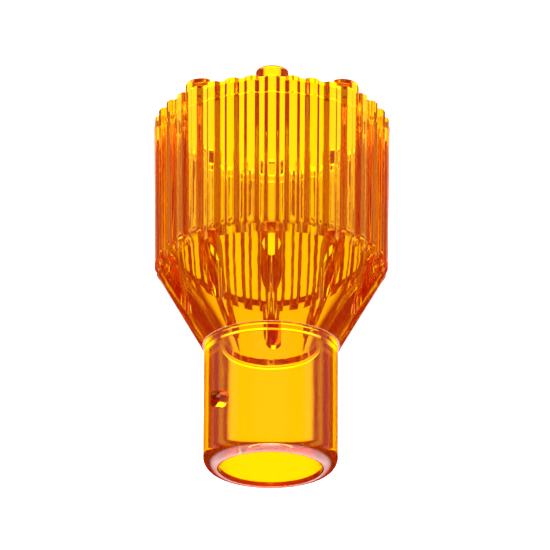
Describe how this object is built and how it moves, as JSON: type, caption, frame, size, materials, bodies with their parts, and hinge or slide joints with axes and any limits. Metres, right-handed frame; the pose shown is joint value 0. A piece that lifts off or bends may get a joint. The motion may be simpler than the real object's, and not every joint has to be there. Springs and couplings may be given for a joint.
{
  "type": "fluted glass insulator head",
  "caption": "Transparent amber head: fluted cup with rim lugs, slotted cone and a keyed socket tube with a cross hole for a pole.",
  "frame": {"origin": "on the axis, in the plane of the rim lugs that the part stands on", "axes": "+Z along the axis towards the open mouth of the socket tube; -Y at the middle of one flute rib, one lug and one slot"},
  "size_m": [0.0612, 0.0612, 0.0972],
  "materials": {
    "amber_head": "polished transparent amber moulding",
    "amber_tube": "polished transparent amber tube",
    "amber_key": "transparent amber key, slightly deeper in colour"
  },
  "bodies": {
    "root": {"fluted_head": "amber_head", "socket_tube": "amber_tube", "locating_key": "amber_key"}
  },
  "joints": []
}
